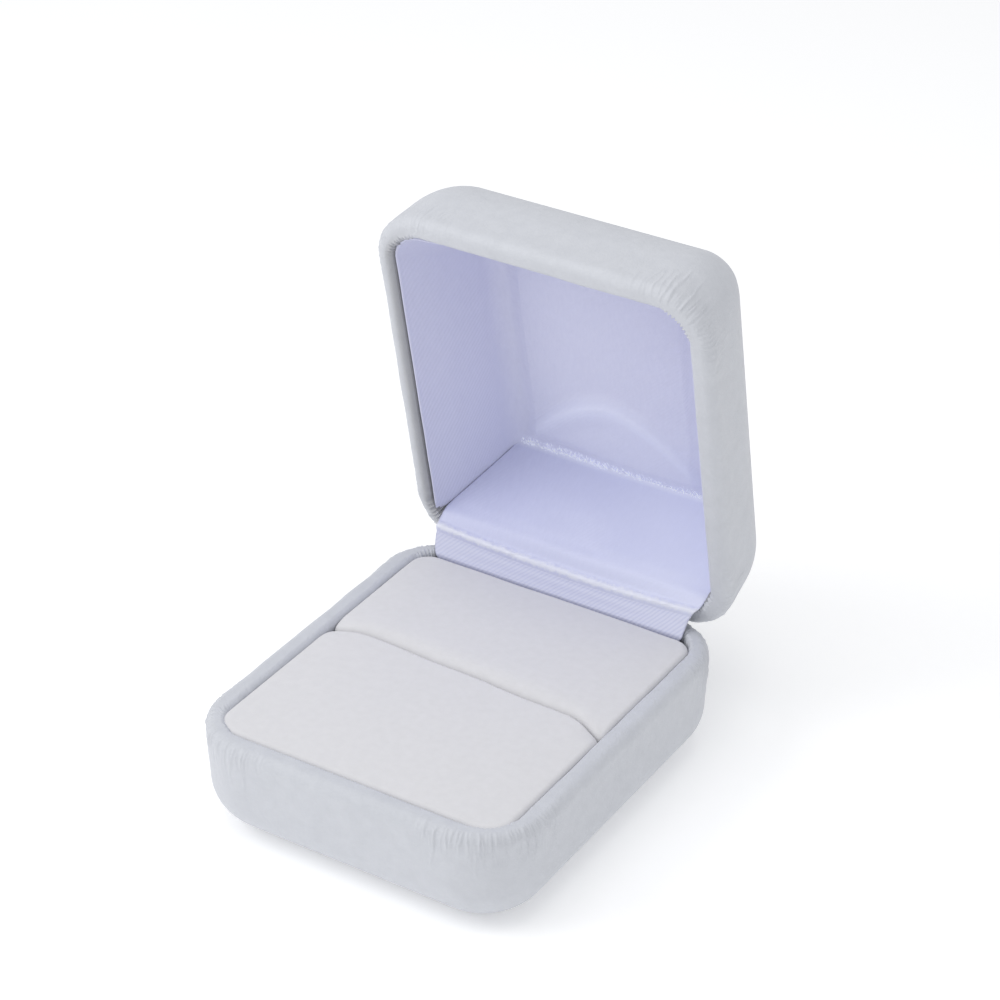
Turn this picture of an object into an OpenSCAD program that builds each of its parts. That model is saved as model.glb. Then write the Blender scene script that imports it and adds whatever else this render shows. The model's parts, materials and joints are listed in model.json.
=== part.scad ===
// Small hinged ring box: a leatherette-covered base with a slotted ring cushion,
// and a satin-lined lid that stands open on a sprung metal hinge.
// The base stands on z = 0 and the hinge is along its back edge, at +Y.

/* [Box] */
// Width of both halves at the rim
box_w = 52; // [48:0.5:60]
// Depth of both halves at the rim
box_d = 59.2; // [55:0.1:68]
// Height of the base, floor to rim
base_h = 16.2; // [15.5:0.1:19]
// Height of the lid, rim to top
lid_h = 20.8; // [20.2:0.1:24]
// How far the lid stands open, from closed
open_angle = 78.6; // [60:0.1:85]
// Gap between the two rims when the lid is shut
rim_gap = 0.1; // [0.1:0.05:0.4]

/* [Rounding] */
// Plan radius of the base's corners
base_corner_r = 9.75; // [8.5:0.05:11]
// Plan radius of the lid's corners
lid_corner_r = 8.45; // [8:0.05:11]
// Smallest plan radius that the rounded ends shrink to
end_corner_r = 4.4; // [3:0.1:5]
// Width of the rounding round the base's underside
base_edge_in = 7.5; // [6:0.1:8]
// Height of the rounding round the base's underside
base_edge_up = 7.1; // [6:0.1:8]
// Width of the rounding round the lid's top
lid_edge_in = 15.2; // [14.8:0.1:16]
// Height of the rounding round the lid's top
lid_edge_up = 14.2; // [13:0.1:14.6]
// How much the base narrows from rim to floor, each side
base_draft = 0.5; // [0:0.1:0.6]
// How much the lid narrows from rim to top, each side
lid_draft = 1.8; // [1:0.1:1.9]

/* [Walls] */
// Width of the rolled rim, over shell and covering
rim_w = 3.2; // [3:0.1:3.4]
// Radius of the rim's outer edge
rim_out_r = 1.6; // [1.5:0.05:1.6]
// Radius of the rim's inner edge
rim_in_r = 0.9; // [0.85:0.05:1.2]
// Thickness of the leatherette covering
wrap_t = 0.6; // [0.5:0.05:0.7]
// How far the covering is turned in below the rim
turn_in = 6; // [4:0.5:6.5]
// Glue line between the covering and the shell
glue_t = 0.1; // [0.06:0.01:0.12]

/* [Cushion] */
// Where the ring slot is, from the middle of the box towards the hinge
slot_y = 1.7; // [-2:0.1:3]
// Half of the gap between the two pads
slot_half = 0.15; // [0.1:0.05:0.4]
// How far the pads' borders lie below the rim
pad_drop = 0.1; // [0:0.1:1]
// How much the pads crown above their borders
pad_crown = 0.6; // [0:0.1:0.8]
// Radius of the pads' rolled top edges
pad_roll = 0.9; // [0.8:0.1:1.8]
// Thickness of the pads' soft cover
cover_t = 0.45; // [0.35:0.05:0.6]
// Thickness of the card that carries the pads
board_t = 0.55; // [0.4:0.05:0.6]

/* [Lid lining] */
// How deep the lining's edge lies inside the lid's rim
lining_top_d = 1.3; // [1.1:0.1:1.6]
// How deep the padded panel lies inside the lid
panel_d = 15.2; // [14.8:0.1:15.4]
// How far the lining's face stands in from the rim's inner edge
lining_gap = 0.5; // [0.45:0.05:0.7]
// How far the flap's face stands in from the rim's inner edge, near the hinge
flap_gap = 0.95; // [0.95:0.05:1.3]
// How far it stands in from the outside at the padded panel
panel_in = 10; // [9.8:0.1:11]
// Thickness of the satin
satin_t = 0.25; // [0.2:0.01:0.3]
// Thickness of the lining's card
card_t = 0.4; // [0.3:0.05:0.45]
// How much the padded panel crowns
panel_crown = 1.5; // [0.6:0.1:2]

/* [Hinge] */
// How far the hinge line lies inside the back of the box
hinge_in = 1.0; // [0.95:0.05:1.3]
// How far the hinge line lies below the base's rim
hinge_drop = 0.25; // [0.2:0.05:0.3]
// Width of the hinge
hinge_w = 30; // [24:1:32]
// Radius of the hinge's knuckles
knuckle_r = 0.9; // [0.85:0.05:0.95]
// Radius of the hinge pin
pin_r = 0.4; // [0.35:0.05:0.45]
// Thickness of the hinge's leaves
leaf_t = 0.35; // [0.3:0.05:0.35]
// Length of the leaves along the walls
leaf_h = 7; // [5:0.5:7.5]

/* [Hidden] */
corner_n = 6;
edge_n = 8;
rim_n = 4;
roll_n = 5;
fit = 0.05;
knuckle_count = 5;
knuckle_gap = 0.2;
rivet_r = 0.8;
rivet_head_r = 1.4;
rivet_head_t = 0.4;
rivet_x = 11;
notch_d = 1.35;
shell_t0 = wrap_t + glue_t;
shell_t1 = rim_w - shell_t0;
hinge_y = box_d / 2 - hinge_in;
hinge_z = base_h - hinge_drop;
knuckle_l = hinge_w / knuckle_count;
notch_w = hinge_w + 0.8;
lid_rim_z = base_h + rim_gap;
lid_top_z = lid_rim_z + lid_h;
base_leaf_y = box_d / 2 - shell_t1 - 0.4;
lid_leaf_y = box_d / 2 - shell_t1 - 0.75;
flap_y = base_leaf_y - leaf_t - rivet_head_t - 0.45;
rear_pad_y1 = flap_y - 0.95;
board_z = shell_t1 + fit / 2;
pad_t = rim_w + 0.1;
pad_z0 = board_z + board_t + fit;
pad_top = base_h - pad_drop;
pad_crown_in = [2, 4.5];
lining_in = rim_w + lining_gap;
lining_slope = (panel_in - lining_in) / (panel_d - lining_top_d);
flap_top_d = 0.7;
flap_slope = (panel_in - rim_w - flap_gap) / (panel_d - flap_top_d);
flap_lean = atan(flap_slope);
leather = [0.86, 0.87, 0.89];
satin = [0.78, 0.79, 0.9];
cushion = [0.9, 0.89, 0.88];
plastic = [0.8, 0.8, 0.8];
card = [0.82, 0.78, 0.7];
foam = [0.93, 0.92, 0.85];
steel = [0.75, 0.73, 0.68];

function reversed(list) = [for (i = [len(list) - 1 : -1 : 0]) list[i]];

// One level of a loft: a rounded rectangle, [half width, y0, y1, front r, back r, z]
function ring(s) = [
  for (k = [0 : 3])
    let (r = k < 2 ? s[4] : s[3],
         cx = (k == 0 || k == 3 ? 1 : -1) * (s[0] - r),
         cy = k < 2 ? s[2] - r : s[1] + r)
      for (i = [0 : corner_n])
        let (a = 90 * (k + i / corner_n))
          [cx + r * cos(a), cy + r * sin(a), s[5]]
];

// A section line moved t to its right
function offset_line(line, t) = [
  for (i = [0 : len(line) - 1])
    let (a = line[max(i - 1, 0)],
         b = line[min(i + 1, len(line) - 1)],
         d = (b - a) / norm(b - a))
      line[i] + t * [d[1], -d[0]]
];

// Closed solid through a list of outlines of n points each, bottom first.
// A banded outline runs along one side of a strip and back along the other.
module skin(outlines, banded = false) {
  n = len(outlines[0]);
  last = (len(outlines) - 1) * n;
  sides = [
    for (k = [0 : len(outlines) - 2], i = [0 : n - 1])
      [k * n + i, (k + 1) * n + i, (k + 1) * n + (i + 1) % n, k * n + (i + 1) % n]
  ];
  bottom = banded
    ? [for (i = [0 : n / 2 - 2]) [i, i + 1, n - 2 - i, n - 1 - i]]
    : [[for (i = [0 : n - 1]) i]];
  top = [for (f = bottom) [for (i = reversed(f)) last + i]];
  polyhedron(points = [for (o = outlines) each o], faces = concat(bottom, top, sides), convexity = 10);
}

// Cup walls, in cup coordinates: closed end at z = 0, rim at z = h.
// Each profile point is [inset from the rim's outside, z].
function drafted(p, h, draft) = [p[0] + draft * (1 - p[1] / h), p[1]];

function wall_line(h, e_in, e_up, draft, t) = [
  for (i = [0 : edge_n])
    let (a = 90 * i / edge_n)
      drafted([e_in - (e_in - t) * sin(a), e_up - (e_up - t) * cos(a)], h, draft)
];

// Over the rim from outside to inside, t inside its surface
function rim_line(h, draft, t) = [
  for (side = [-1, 1], i = [0 : rim_n])
    let (r = side < 0 ? rim_out_r : rim_in_r,
         a = 90 * (side < 0 ? i : rim_n - i) / rim_n,
         centre = side < 0 ? rim_out_r : rim_w - rim_in_r)
      drafted([centre + side * (r - t) * cos(a), h - r + (r - t) * sin(a)], h, draft)
];

function cup_ring(p, corner_r) = let (r = max(corner_r - p[0], end_corner_r))
  ring([box_w / 2 - p[0], p[0] - box_d / 2, box_d / 2 - p[0], r, r, p[1]]);

module cup(profile, corner_r) {
  skin([for (p = profile) cup_ring(p, corner_r)]);
}

module shell_cup(h, e_in, e_up, draft, corner_r) {
  cup(concat(
    wall_line(h, e_in, e_up, draft, shell_t0),
    rim_line(h, draft, shell_t0),
    reversed(wall_line(h, e_in, e_up, draft, shell_t1))
  ), corner_r);
}

module wrap_cup(h, e_in, e_up, draft, corner_r) {
  hem_z = h - rim_w / 2 - turn_in;
  cup(concat(
    wall_line(h, e_in, e_up, draft, 0),
    rim_line(h, draft, 0),
    [drafted([rim_w, hem_z], h, draft), drafted([rim_w - wrap_t, hem_z], h, draft)],
    reversed(rim_line(h, draft, wrap_t)),
    reversed(wall_line(h, e_in, e_up, draft, wrap_t))
  ), corner_r);
}

// Slot for the hinge through the back rim, and the seat for its leaf inside the wall
module hinge_notch(h) {
  translate([-notch_w / 2, box_d / 2 - rim_w - 1, h - notch_d])
    cube([notch_w, rim_w + 2, notch_d + 1]);
}

module leaf_seat(h) {
  translate([-notch_w / 2, box_d / 2 - rim_w - 2, h - turn_in - rim_w])
    cube([notch_w, rim_w + 2 - shell_t1 - 0.02, turn_in + rim_w + 1]);
}

// Places what is drawn with the lid shut into the open position
module opened() {
  translate([0, hinge_y, hinge_z])
    rotate([-open_angle, 0, 0])
      translate([0, -hinge_y, -hinge_z])
        children();
}

// Turns cup coordinates over into the shut lid, then opens it
module lid_place() {
  opened()
    translate([0, 0, lid_top_z])
      mirror([0, 0, 1])
        children();
}

module rivet_holes(xs, y, z, r) {
  for (x = xs)
    translate([x, y, z])
      rotate([-90, 0, 0])
        cylinder(r = r, h = box_d / 2 - shell_t0 - 0.5 - y, $fn = 32);
}

base_rivet_xs = [-rivet_x, 0, rivet_x];
lid_rivet_xs = [-rivet_x, rivet_x];
base_rivet_z = hinge_z - knuckle_r - leaf_h / 2;
lid_rivet_z = hinge_z + knuckle_r + leaf_h / 2;

// ---- Base ----

module base_shell() {
  color(plastic)
    difference() {
      shell_cup(base_h, base_edge_in, base_edge_up, base_draft, base_corner_r);
      hinge_notch(base_h);
      rivet_holes(base_rivet_xs, base_leaf_y - 1, base_rivet_z, rivet_r + fit);
    }
}

module base_wrap() {
  color(leather)
    difference() {
      wrap_cup(base_h, base_edge_in, base_edge_up, base_draft, base_corner_r);
      hinge_notch(base_h);
      leaf_seat(base_h);
    }
}

module pad_board() {
  in = base_edge_in + base_draft + 0.2;
  color(card)
    skin([for (z = [board_z, board_z + board_t]) cup_ring([in, z], base_corner_r)]);
}

// Side, rolled top edge and crown of a pad set in by t: [inset, inset of the slot face, z]
function pad_line(t) = concat(
  [for (p = wall_line(base_h, base_edge_in, base_edge_up, base_draft, pad_t + t))
    if (p[1] > pad_z0) [p[0], t, p[1]]],
  [for (i = [0 : roll_n])
    let (a = 90 * i / roll_n,
         roll = (pad_roll - t) * (1 - cos(a)),
         z = pad_top - pad_roll + (pad_roll - t) * sin(a))
      [drafted([pad_t + t, z], base_h, base_draft)[0] + roll, t + roll, z]],
  [for (i = [0, 1])
    let (in = pad_roll + pad_crown_in[i])
      [pad_t + in, in, pad_top - t + pad_crown * (i + 2) / 3]]
);

function pad_foot(t) = let (p = pad_line(t)[0]) [[p[0] + 0.3, p[1], pad_z0]];

// Level of the front pad, square at the slot and following the box's corners in front
function front_ring(p) = ring([
  box_w / 2 - p[0], p[0] - box_d / 2, slot_y - slot_half - p[1],
  max(base_corner_r - p[0], end_corner_r), 1, p[2]
]);

// Level of the rear pad, which stops short of the flap behind it
rear_corner_r = 4.5;
function rear_ring(p) = ring([
  box_w / 2 - p[0], slot_y + slot_half + p[1], min(rear_pad_y1 - p[1], box_d / 2 - p[0]),
  1, rear_corner_r, p[2]
]);

module front_pad_foam() {
  t = cover_t + fit;
  color(foam) skin([for (p = concat(pad_foot(t), pad_line(t))) front_ring(p)]);
}

module rear_pad_foam() {
  t = cover_t + fit;
  color(foam) skin([for (p = concat(pad_foot(t), pad_line(t))) rear_ring(p)]);
}

// The covers are skins over the foam, open underneath
module front_pad_cover() {
  outside = concat(pad_foot(0), pad_line(0));
  inside = concat(pad_foot(cover_t), pad_line(cover_t));
  color(cushion)
    difference() {
      skin([for (p = outside) front_ring(p)]);
      translate([0, 0, -0.01]) skin([for (p = inside) front_ring(p)]);
    }
}

module rear_pad_cover() {
  outside = concat(pad_foot(0), pad_line(0));
  inside = concat(pad_foot(cover_t), pad_line(cover_t));
  color(cushion)
    difference() {
      skin([for (p = outside) rear_ring(p)]);
      translate([0, 0, -0.01]) skin([for (p = inside) rear_ring(p)]);
    }
}

// ---- Hinge ----

function knuckle_x(i) = -hinge_w / 2 + i * knuckle_l + knuckle_gap / 2;

// Knuckle and finger of a leaf; side is -1 below the pin and 1 above it
module hinge_finger(i, side, leaf_y) {
  finger_z = side > 0 ? knuckle_r - leaf_t : -knuckle_r;
  width = knuckle_l - knuckle_gap;
  translate([knuckle_x(i), hinge_y, hinge_z])
    difference() {
      union() {
        rotate([0, 90, 0]) cylinder(r = knuckle_r, h = width, $fn = 48);
        translate([0, leaf_y - leaf_t - hinge_y, finger_z])
          cube([width, hinge_y - leaf_y + leaf_t, leaf_t]);
      }
      translate([-1, 0, 0])
        rotate([0, 90, 0])
          cylinder(r = pin_r + fit, h = width + 2, $fn = 48);
    }
}

module hinge_base_leaf() {
  plate_top = hinge_z - knuckle_r - 0.25;
  color(steel)
    difference() {
      union() {
        for (i = [0, 2, 4]) {
          hinge_finger(i, -1, base_leaf_y);
          translate([knuckle_x(i), base_leaf_y - leaf_t, plate_top - 0.5])
            cube([knuckle_l - knuckle_gap, leaf_t, 0.5 + 0.25 + leaf_t]);
        }
        translate([-hinge_w / 2, base_leaf_y - leaf_t, plate_top - leaf_h])
          cube([hinge_w, leaf_t, leaf_h]);
      }
      rivet_holes(base_rivet_xs, base_leaf_y - leaf_t - 1, base_rivet_z, rivet_r + fit);
    }
}

module hinge_lid_leaf() {
  plate_low = hinge_z + knuckle_r + 0.25;
  color(steel)
    opened()
      difference() {
        union() {
          for (i = [1, 3]) {
            hinge_finger(i, 1, lid_leaf_y);
            translate([knuckle_x(i), lid_leaf_y - leaf_t, plate_low - 0.25 - leaf_t])
              cube([knuckle_l - knuckle_gap, leaf_t, 0.5 + 0.25 + leaf_t]);
          }
          translate([-hinge_w / 2, lid_leaf_y - leaf_t, plate_low])
            cube([hinge_w, leaf_t, leaf_h - 0.4]);
        }
        rivet_holes(lid_rivet_xs, lid_leaf_y - leaf_t - 1, lid_rivet_z, rivet_r + fit);
      }
}

module rivets(xs, face_y, z) {
  for (x = xs)
    translate([x, face_y, z])
      rotate([-90, 0, 0]) {
        translate([0, 0, -rivet_head_t]) cylinder(r = rivet_head_r, h = rivet_head_t, $fn = 32);
        cylinder(r = rivet_r, h = box_d / 2 - shell_t0 - 0.6 - face_y, $fn = 32);
      }
}

module hinge_base_rivets() {
  color(steel) {
    rivets([-rivet_x, rivet_x], base_leaf_y - leaf_t, base_rivet_z);
    rivets([0], base_leaf_y - leaf_t - spring_t, base_rivet_z);
  }
}

module hinge_lid_rivets() {
  color(steel) opened() rivets(lid_rivet_xs, lid_leaf_y - leaf_t, lid_rivet_z);
}

module hinge_pin() {
  length = hinge_w + 0.4;
  color(steel)
    translate([-length / 2, hinge_y, hinge_z])
      rotate([0, 90, 0])
        cylinder(r = pin_r, h = length, $fn = 48);
}

// Flat spring on the base's leaf: its two tongues bear on the lid's knuckles
spring_t = 0.3;
spring_w = 18;
tongue_w = 4;
module hinge_spring() {
  back_y = base_leaf_y - leaf_t;
  tongue_z = hinge_z - knuckle_r - 0.15;
  tongue_end = hinge_y - knuckle_r - 0.1;
  color(steel)
    difference() {
      union() {
        translate([-spring_w / 2, back_y - spring_t, base_rivet_z - 2])
          cube([spring_w, spring_t, 4]);
        for (i = [1, 3])
          translate([knuckle_x(i) + (knuckle_l - knuckle_gap - tongue_w) / 2, back_y - spring_t, 0]) {
            translate([0, 0, base_rivet_z])
              cube([tongue_w, spring_t, tongue_z + spring_t - base_rivet_z]);
            translate([0, 0, tongue_z])
              cube([tongue_w, tongue_end - back_y + spring_t, spring_t]);
          }
      }
      rivet_holes([0], back_y - 1, base_rivet_z, rivet_r + fit);
    }
}

// ---- Satin flap ----

// Turns a point [y, z] of the shut lid to the open position
function open_point(p) = let (c = cos(open_angle), s = sin(open_angle), y = p[0] - hinge_y, z = p[1] - hinge_z)
  [hinge_y + y * c + z * s, hinge_z - y * s + z * c];

// A point of the shut lid's back slope: d deep inside the rim, set in by extra
function back_point(d, extra) =
  [box_d / 2 - rim_w - flap_gap - flap_slope * (d - flap_top_d) - extra, lid_rim_z + d];

flap_in = card_t + satin_t + 0.45;
flap_clear = flap_in + satin_t / 2 + 0.25;
flap_top_w = 31;
flap_rim_w = 41;
flap_tuck_w = 38.4;
// The strip's middle line [y, z], from the frayed edge in the lid to the tuck behind the rear pad
flap_line = [
  open_point(back_point(panel_d - 0.1, flap_in)),
  open_point(back_point(2.4, flap_in)),
  [27.6, 18.9],
  [26.6, 18.3],
  [25.4, 16.6],
  [flap_y, base_h - 0.5],
  [flap_y, 8]
];
flap_widths = [flap_top_w, flap_rim_w, flap_rim_w, flap_rim_w, flap_rim_w - 1, flap_tuck_w, flap_tuck_w - 2];

module satin_flap() {
  face = offset_line(flap_line, satin_t / 2);
  back = offset_line(flap_line, -satin_t / 2);
  color(satin)
    skin([
      for (i = [0 : len(face) - 1])
        let (hw = flap_widths[i] / 2)
          [
            concat(-hw, face[i]),
            concat(-hw, back[i]),
            concat(hw, back[i]),
            concat(hw, face[i])
          ]
    ]);
}

// ---- Lid ----

module lid_shell() {
  color(plastic)
    difference() {
      lid_place()
        difference() {
          shell_cup(lid_h, lid_edge_in, lid_edge_up, lid_draft, lid_corner_r);
          hinge_notch(lid_h);
        }
      opened() rivet_holes(lid_rivet_xs, lid_leaf_y - 1, lid_rivet_z, rivet_r + fit);
    }
}

module lid_wrap() {
  color(leather)
    lid_place()
      difference() {
        wrap_cup(lid_h, lid_edge_in, lid_edge_up, lid_draft, lid_corner_r);
        hinge_notch(lid_h);
        leaf_seat(lid_h);
      }
}

panel_card_t = 0.8;
panel_card_z = lid_h - panel_d - panel_card_t - 0.4;
panel_z = panel_card_z + panel_card_t + fit;

module lid_panel_card() {
  color(card)
    lid_place()
      skin([for (z = [panel_card_z, panel_card_z + panel_card_t]) cup_ring([panel_in, z], lid_corner_r)]);
}

// Level of the lining, square at the back where the flap closes it
function lining_ring(p) = ring([
  box_w / 2 - p[0], p[0] - box_d / 2, box_d / 2 - p[0],
  max(lid_corner_r - p[0], end_corner_r), 1, p[1]
]);

// Face of the lining from its edge to the crown of the padded panel: [inset, z]
corner_steps = 5;
lining_line =
  let (corner_d = panel_d - 2.4,
       face_z = lid_h - panel_d,
       a = [lining_in + lining_slope * (corner_d - lining_top_d), lid_h - corner_d],
       b = [panel_in, face_z],
       c = [panel_in + 2.6, face_z + 0.75 * panel_crown])
    concat(
      [[lining_in, lid_h - lining_top_d]],
      [for (i = [0 : corner_steps])
        let (u = i / corner_steps)
          (1 - u) * (1 - u) * a + 2 * u * (1 - u) * b + u * u * c],
      [[panel_in + 5.5, face_z + panel_crown]]
    );

// Room behind the flap's face, taken out of what the flap closes
module behind_flap() {
  low = back_point(0, flap_clear);
  opened()
    translate([-box_w / 2, low[0], low[1]])
      rotate([flap_lean, 0, 0])
        translate([0, 0, -5])
          cube([box_w, 20, 30]);
}

module lid_lining_satin() {
  color(satin)
    difference() {
      lid_place()
        skin([for (p = concat(reversed(offset_line(lining_line, satin_t)), lining_line)) lining_ring(p)]);
      behind_flap();
    }
}

module lid_panel_foam() {
  top = [
    for (p = offset_line(lining_line, satin_t + fit))
      if (p[0] > panel_in + 0.6 && p[1] > panel_z) p
  ];
  color(foam)
    difference() {
      lid_place()
        skin([for (p = concat([[top[0][0], panel_z]], top)) lining_ring(p)]);
      behind_flap();
    }
}

// U-shaped outline of the side lining, d deep inside the rim, from t0 to t1 behind its face
function u_outline(d, t0, t1) =
  let (in = lining_in + lining_slope * (d - lining_top_d),
       r = max(lid_corner_r - in, end_corner_r),
       hx = box_w / 2 - in,
       y0 = in - box_d / 2,
       y1 = back_point(d, flap_in + 0.3)[0],
       z = lid_h - d)
    concat(
      [[-hx - t1, y1, z]],
      u_arc(hx, y0, r, t1, z),
      [[hx + t1, y1, z], [hx + t0, y1, z]],
      reversed(u_arc(hx, y0, r, t0, z)),
      [[-hx - t0, y1, z]]
    );

function u_arc(hx, y0, r, t, z) = [
  for (k = [2, 3], i = [0 : corner_n])
    let (a = 90 * (k + i / corner_n), side = k == 2 ? -1 : 1)
      [side * (hx - r) + (r + t) * cos(a), y0 + r + (r + t) * sin(a), z]
];

module side_lining_card() {
  t0 = satin_t + 3 * fit;
  // The card starts where its back comes clear of the lid's turned-in covering
  clear_in = rim_w + 2 * fit + t0 + card_t - lining_in;
  gain = lining_slope - lid_draft / lid_h;
  top_d = lining_top_d + max(0.1, (clear_in + lid_draft * lining_top_d / lid_h) / gain);
  color(card)
    lid_place()
      skin([for (d = [panel_d - 0.4, top_d]) u_outline(d, t0, t0 + card_t)], banded = true);
}

// Card that backs the satin flap, leaning with the lining's slope
module flap_card() {
  low = back_point(2.6, satin_t / 2 + fit);
  length = (panel_d - 2.9) / cos(flap_lean);
  color(card)
    opened()
      translate([0, low[0], low[1]])
        rotate([90 + flap_lean, 0, 0])
          linear_extrude(card_t)
            polygon([[-20.2, 0], [20.2, 0], [15.4, length], [-15.4, length]]);
}

base_shell();
base_wrap();
pad_board();
front_pad_foam();
front_pad_cover();
rear_pad_foam();
rear_pad_cover();
hinge_base_leaf();
hinge_base_rivets();
hinge_pin();
hinge_spring();
satin_flap();
lid_shell();
lid_wrap();
lid_panel_card();
lid_panel_foam();
side_lining_card();
lid_lining_satin();
flap_card();
hinge_lid_leaf();
hinge_lid_rivets();
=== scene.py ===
import json
import math

import bpy
import numpy as np
from mathutils import Matrix, Vector


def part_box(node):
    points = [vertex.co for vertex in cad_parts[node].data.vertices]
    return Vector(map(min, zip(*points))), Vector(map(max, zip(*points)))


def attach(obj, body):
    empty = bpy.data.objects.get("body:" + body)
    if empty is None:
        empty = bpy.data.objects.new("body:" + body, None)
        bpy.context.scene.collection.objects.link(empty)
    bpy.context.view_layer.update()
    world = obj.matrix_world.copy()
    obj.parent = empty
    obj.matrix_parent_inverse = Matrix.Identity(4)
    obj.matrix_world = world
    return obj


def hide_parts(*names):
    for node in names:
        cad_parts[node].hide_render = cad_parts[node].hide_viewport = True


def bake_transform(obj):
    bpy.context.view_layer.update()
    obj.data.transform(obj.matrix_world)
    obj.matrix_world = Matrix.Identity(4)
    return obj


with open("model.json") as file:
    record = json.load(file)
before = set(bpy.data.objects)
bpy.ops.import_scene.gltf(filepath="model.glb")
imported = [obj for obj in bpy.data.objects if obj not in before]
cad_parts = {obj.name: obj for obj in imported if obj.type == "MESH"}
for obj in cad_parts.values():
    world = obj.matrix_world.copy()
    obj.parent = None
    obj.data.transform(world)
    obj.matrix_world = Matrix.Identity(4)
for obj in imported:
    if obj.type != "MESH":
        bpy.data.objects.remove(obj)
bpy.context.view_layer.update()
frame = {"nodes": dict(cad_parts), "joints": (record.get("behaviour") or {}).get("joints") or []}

MM = 0.001

# ---------------------------------------------------------------- sizes, in mm
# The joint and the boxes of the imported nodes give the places; the roundings and
# insets repeat part.scad's own values.
JOINT = frame["joints"][0]
HINGE_Y, HINGE_Z = JOINT["pos_m"][1] / MM, JOINT["pos_m"][2] / MM
OPEN = math.radians(JOINT["range_deg"][1])

BASE_DRAFT, LID_DRAFT = 0.5, 1.8
RIM_W, RIM_OUT_R, RIM_IN_R = 3.2, 1.6, 0.9
WRAP_T, TURN_IN = 0.6, 6.0
# how far past the crest the hem begins; on the lid the hem takes the leatherette painted darker as
# shade
HEM_START = 1.75
BASE_CORNER_R, LID_CORNER_R, END_CORNER_R = 9.75, 8.45, 4.4
BASE_EDGE_IN, BASE_EDGE_UP = 7.5, 7.1
LID_EDGE_IN, LID_EDGE_UP = 15.2, 14.2
NOTCH_HALF_W, NOTCH_D = 15.4, 1.35

base_lo, base_hi = (np.array(c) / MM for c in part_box("base_wrap"))
BASE_H = base_hi[2]
HALF_W = base_hi[0] + BASE_DRAFT * RIM_OUT_R / BASE_H
HALF_D = -base_lo[1] + BASE_DRAFT * RIM_OUT_R / BASE_H


def to_open(p):
    """Points of the shut lid, turned to where the lid stands at rest."""
    p = np.asarray(p, float)
    y, z = p[..., 1] - HINGE_Y, p[..., 2] - HINGE_Z
    c, s = math.cos(OPEN), math.sin(OPEN)
    return np.stack([p[..., 0], HINGE_Y + y * c + z * s, HINGE_Z - y * s + z * c], axis=-1)


def to_shut(p):
    """The other way round: points of the lid at rest, turned to where it is shut."""
    y, z = p[..., 1] - HINGE_Y, p[..., 2] - HINGE_Z
    c, s = math.cos(OPEN), math.sin(OPEN)
    return np.stack([p[..., 0], HINGE_Y + y * c - z * s, HINGE_Z + y * s + z * c], axis=-1)


lid_points = to_shut(np.array([v.co for v in frame["nodes"]["lid_wrap"].data.vertices]) / MM)
LID_RIM_Z, LID_TOP_Z = lid_points[:, 2].min(), lid_points[:, 2].max()
LID_H = LID_TOP_Z - LID_RIM_Z

# ---------------------------------------------------------------- small helpers


def smooth(x, a, b):
    t = np.clip((np.asarray(x, float) - a) / (b - a), 0, 1)
    return t * t * (3 - 2 * t)


def value_noise(x, y, seed, cell):
    """Smooth noise in -1..1 over a plane, the same each run."""
    table = np.random.default_rng(seed).uniform(-1, 1, (64, 64))
    u, v = np.asarray(x, float) / cell, np.asarray(y, float) / cell
    i, j = np.floor(u).astype(int), np.floor(v).astype(int)
    fu, fv = u - i, v - j
    fu, fv = fu * fu * (3 - 2 * fu), fv * fv * (3 - 2 * fv)
    a, b = table[i % 64, j % 64], table[(i + 1) % 64, j % 64]
    c, d = table[i % 64, (j + 1) % 64], table[(i + 1) % 64, (j + 1) % 64]
    return (a * (1 - fu) + b * fu) * (1 - fv) + (c * (1 - fu) + d * fu) * fv


def new_mesh(name, points, faces, material, uv=None):
    """Object from points in mm; uv is one (u, v) in mm for each point."""
    mesh = bpy.data.meshes.new(name)
    mesh.from_pydata((np.asarray(points) * MM).tolist(), [], [list(f) for f in faces])
    if uv is not None:
        layer = mesh.uv_layers.new(name="UVMap")
        loops = np.zeros(len(mesh.loops), np.int32)
        mesh.loops.foreach_get("vertex_index", loops)
        layer.data.foreach_set("uv", np.asarray(uv, np.float32)[loops].ravel())
    mesh.polygons.foreach_set("use_smooth", [True] * len(mesh.polygons))
    mesh.materials.append(material)
    mesh.validate()
    mesh.update()
    obj = bpy.data.objects.new(name, mesh)
    bpy.context.scene.collection.objects.link(obj)
    return obj


def grid_faces(rows, cols, closed=False, start=0):
    """Quads over rows of points, each row closed into a ring or left open."""
    i = np.arange(rows - 1)[:, None] * cols
    j = np.arange(cols if closed else cols - 1)[None, :]
    k = (j + 1) % cols
    return np.stack([i + j, i + k, i + cols + k, i + cols + j], axis=-1).reshape(-1, 4) + start


def thicken(obj, t):
    """Gives a sheet its thickness in mm, away from its face."""
    thick = obj.modifiers.new("thickness", "SOLIDIFY")
    thick.thickness, thick.offset = t * MM, -1
    evaluated = obj.evaluated_get(bpy.context.evaluated_depsgraph_get())
    mesh = bpy.data.meshes.new_from_object(evaluated)
    obj.modifiers.clear()
    obj.data = mesh


def set_attribute(obj, name, values):
    layer = obj.data.attributes.new(name, "FLOAT", "POINT")
    layer.data.foreach_set("value", values.astype(np.float32))


def run_along(points):
    """Distance run along a line at each of its points."""
    steps = np.linalg.norm(np.diff(points, axis=0), axis=1)
    return np.concatenate([[0], np.cumsum(steps)])


def around(x, total):
    """Distance along a ring of that length, taken the shorter way round."""
    return (x + total / 2) % total - total / 2


# ---------------------------------------------------------------- materials


def node_material(name):
    m = bpy.data.materials.new(name)
    m.use_nodes = True
    return m, m.node_tree, m.node_tree.nodes["Principled BSDF"]


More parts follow.
